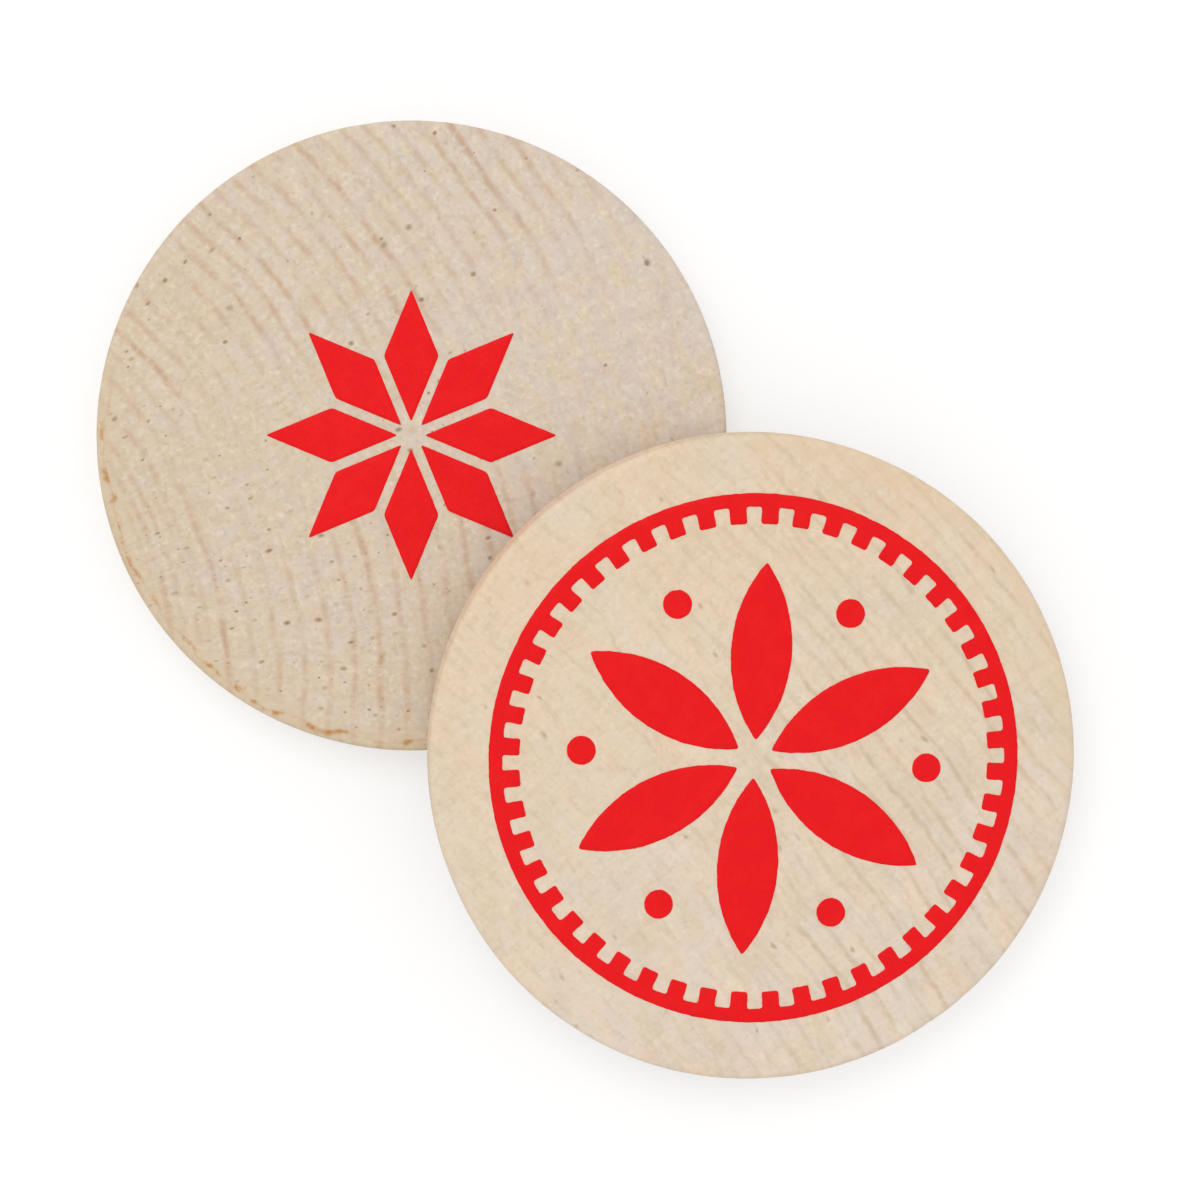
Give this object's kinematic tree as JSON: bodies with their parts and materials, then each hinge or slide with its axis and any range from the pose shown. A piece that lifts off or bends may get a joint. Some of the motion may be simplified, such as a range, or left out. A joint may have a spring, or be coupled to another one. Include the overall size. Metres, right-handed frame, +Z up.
{
  "type": "wooden nickel pair",
  "caption": "Round wooden nickels with eased edges and red printed ornaments, lying overlapped: the upper one leans on the rim of the lower one and lifts off.",
  "frame": {"origin": "centre of the flat nickel's underside", "axes": "+Z up; +X from the flat nickel towards the leaning one"},
  "size_m": [0.0653, 0.0382, 0.0078],
  "materials": {
    "flat_wood": "sanded end grain, unfinished",
    "leaning_wood": "sanded end grain, unfinished",
    "red_ink": "satin printing ink"
  },
  "bodies": {
    "flat_nickel": {"flat_blank": "flat_wood", "star_diamond_1": "red_ink", "star_diamond_2": "red_ink", "star_diamond_3": "red_ink", "star_diamond_4": "red_ink", "star_diamond_5": "red_ink", "star_diamond_6": "red_ink", "star_diamond_7": "red_ink", "star_diamond_8": "red_ink"},
    "leaning_nickel": {"leaning_blank": "leaning_wood", "coin_border": "red_ink", "petal_1": "red_ink", "petal_2": "red_ink", "petal_3": "red_ink", "petal_4": "red_ink", "petal_5": "red_ink", "petal_6": "red_ink", "berry_1": "red_ink", "berry_2": "red_ink", "berry_3": "red_ink", "berry_4": "red_ink", "berry_5": "red_ink", "berry_6": "red_ink"}
  },
  "joints": [
    {"name": "lift_off", "type": "slide", "parent": "flat_nickel", "child": "leaning_nickel", "axis": [0, 0, 1], "range_m": [0, 0.04]}
  ]
}
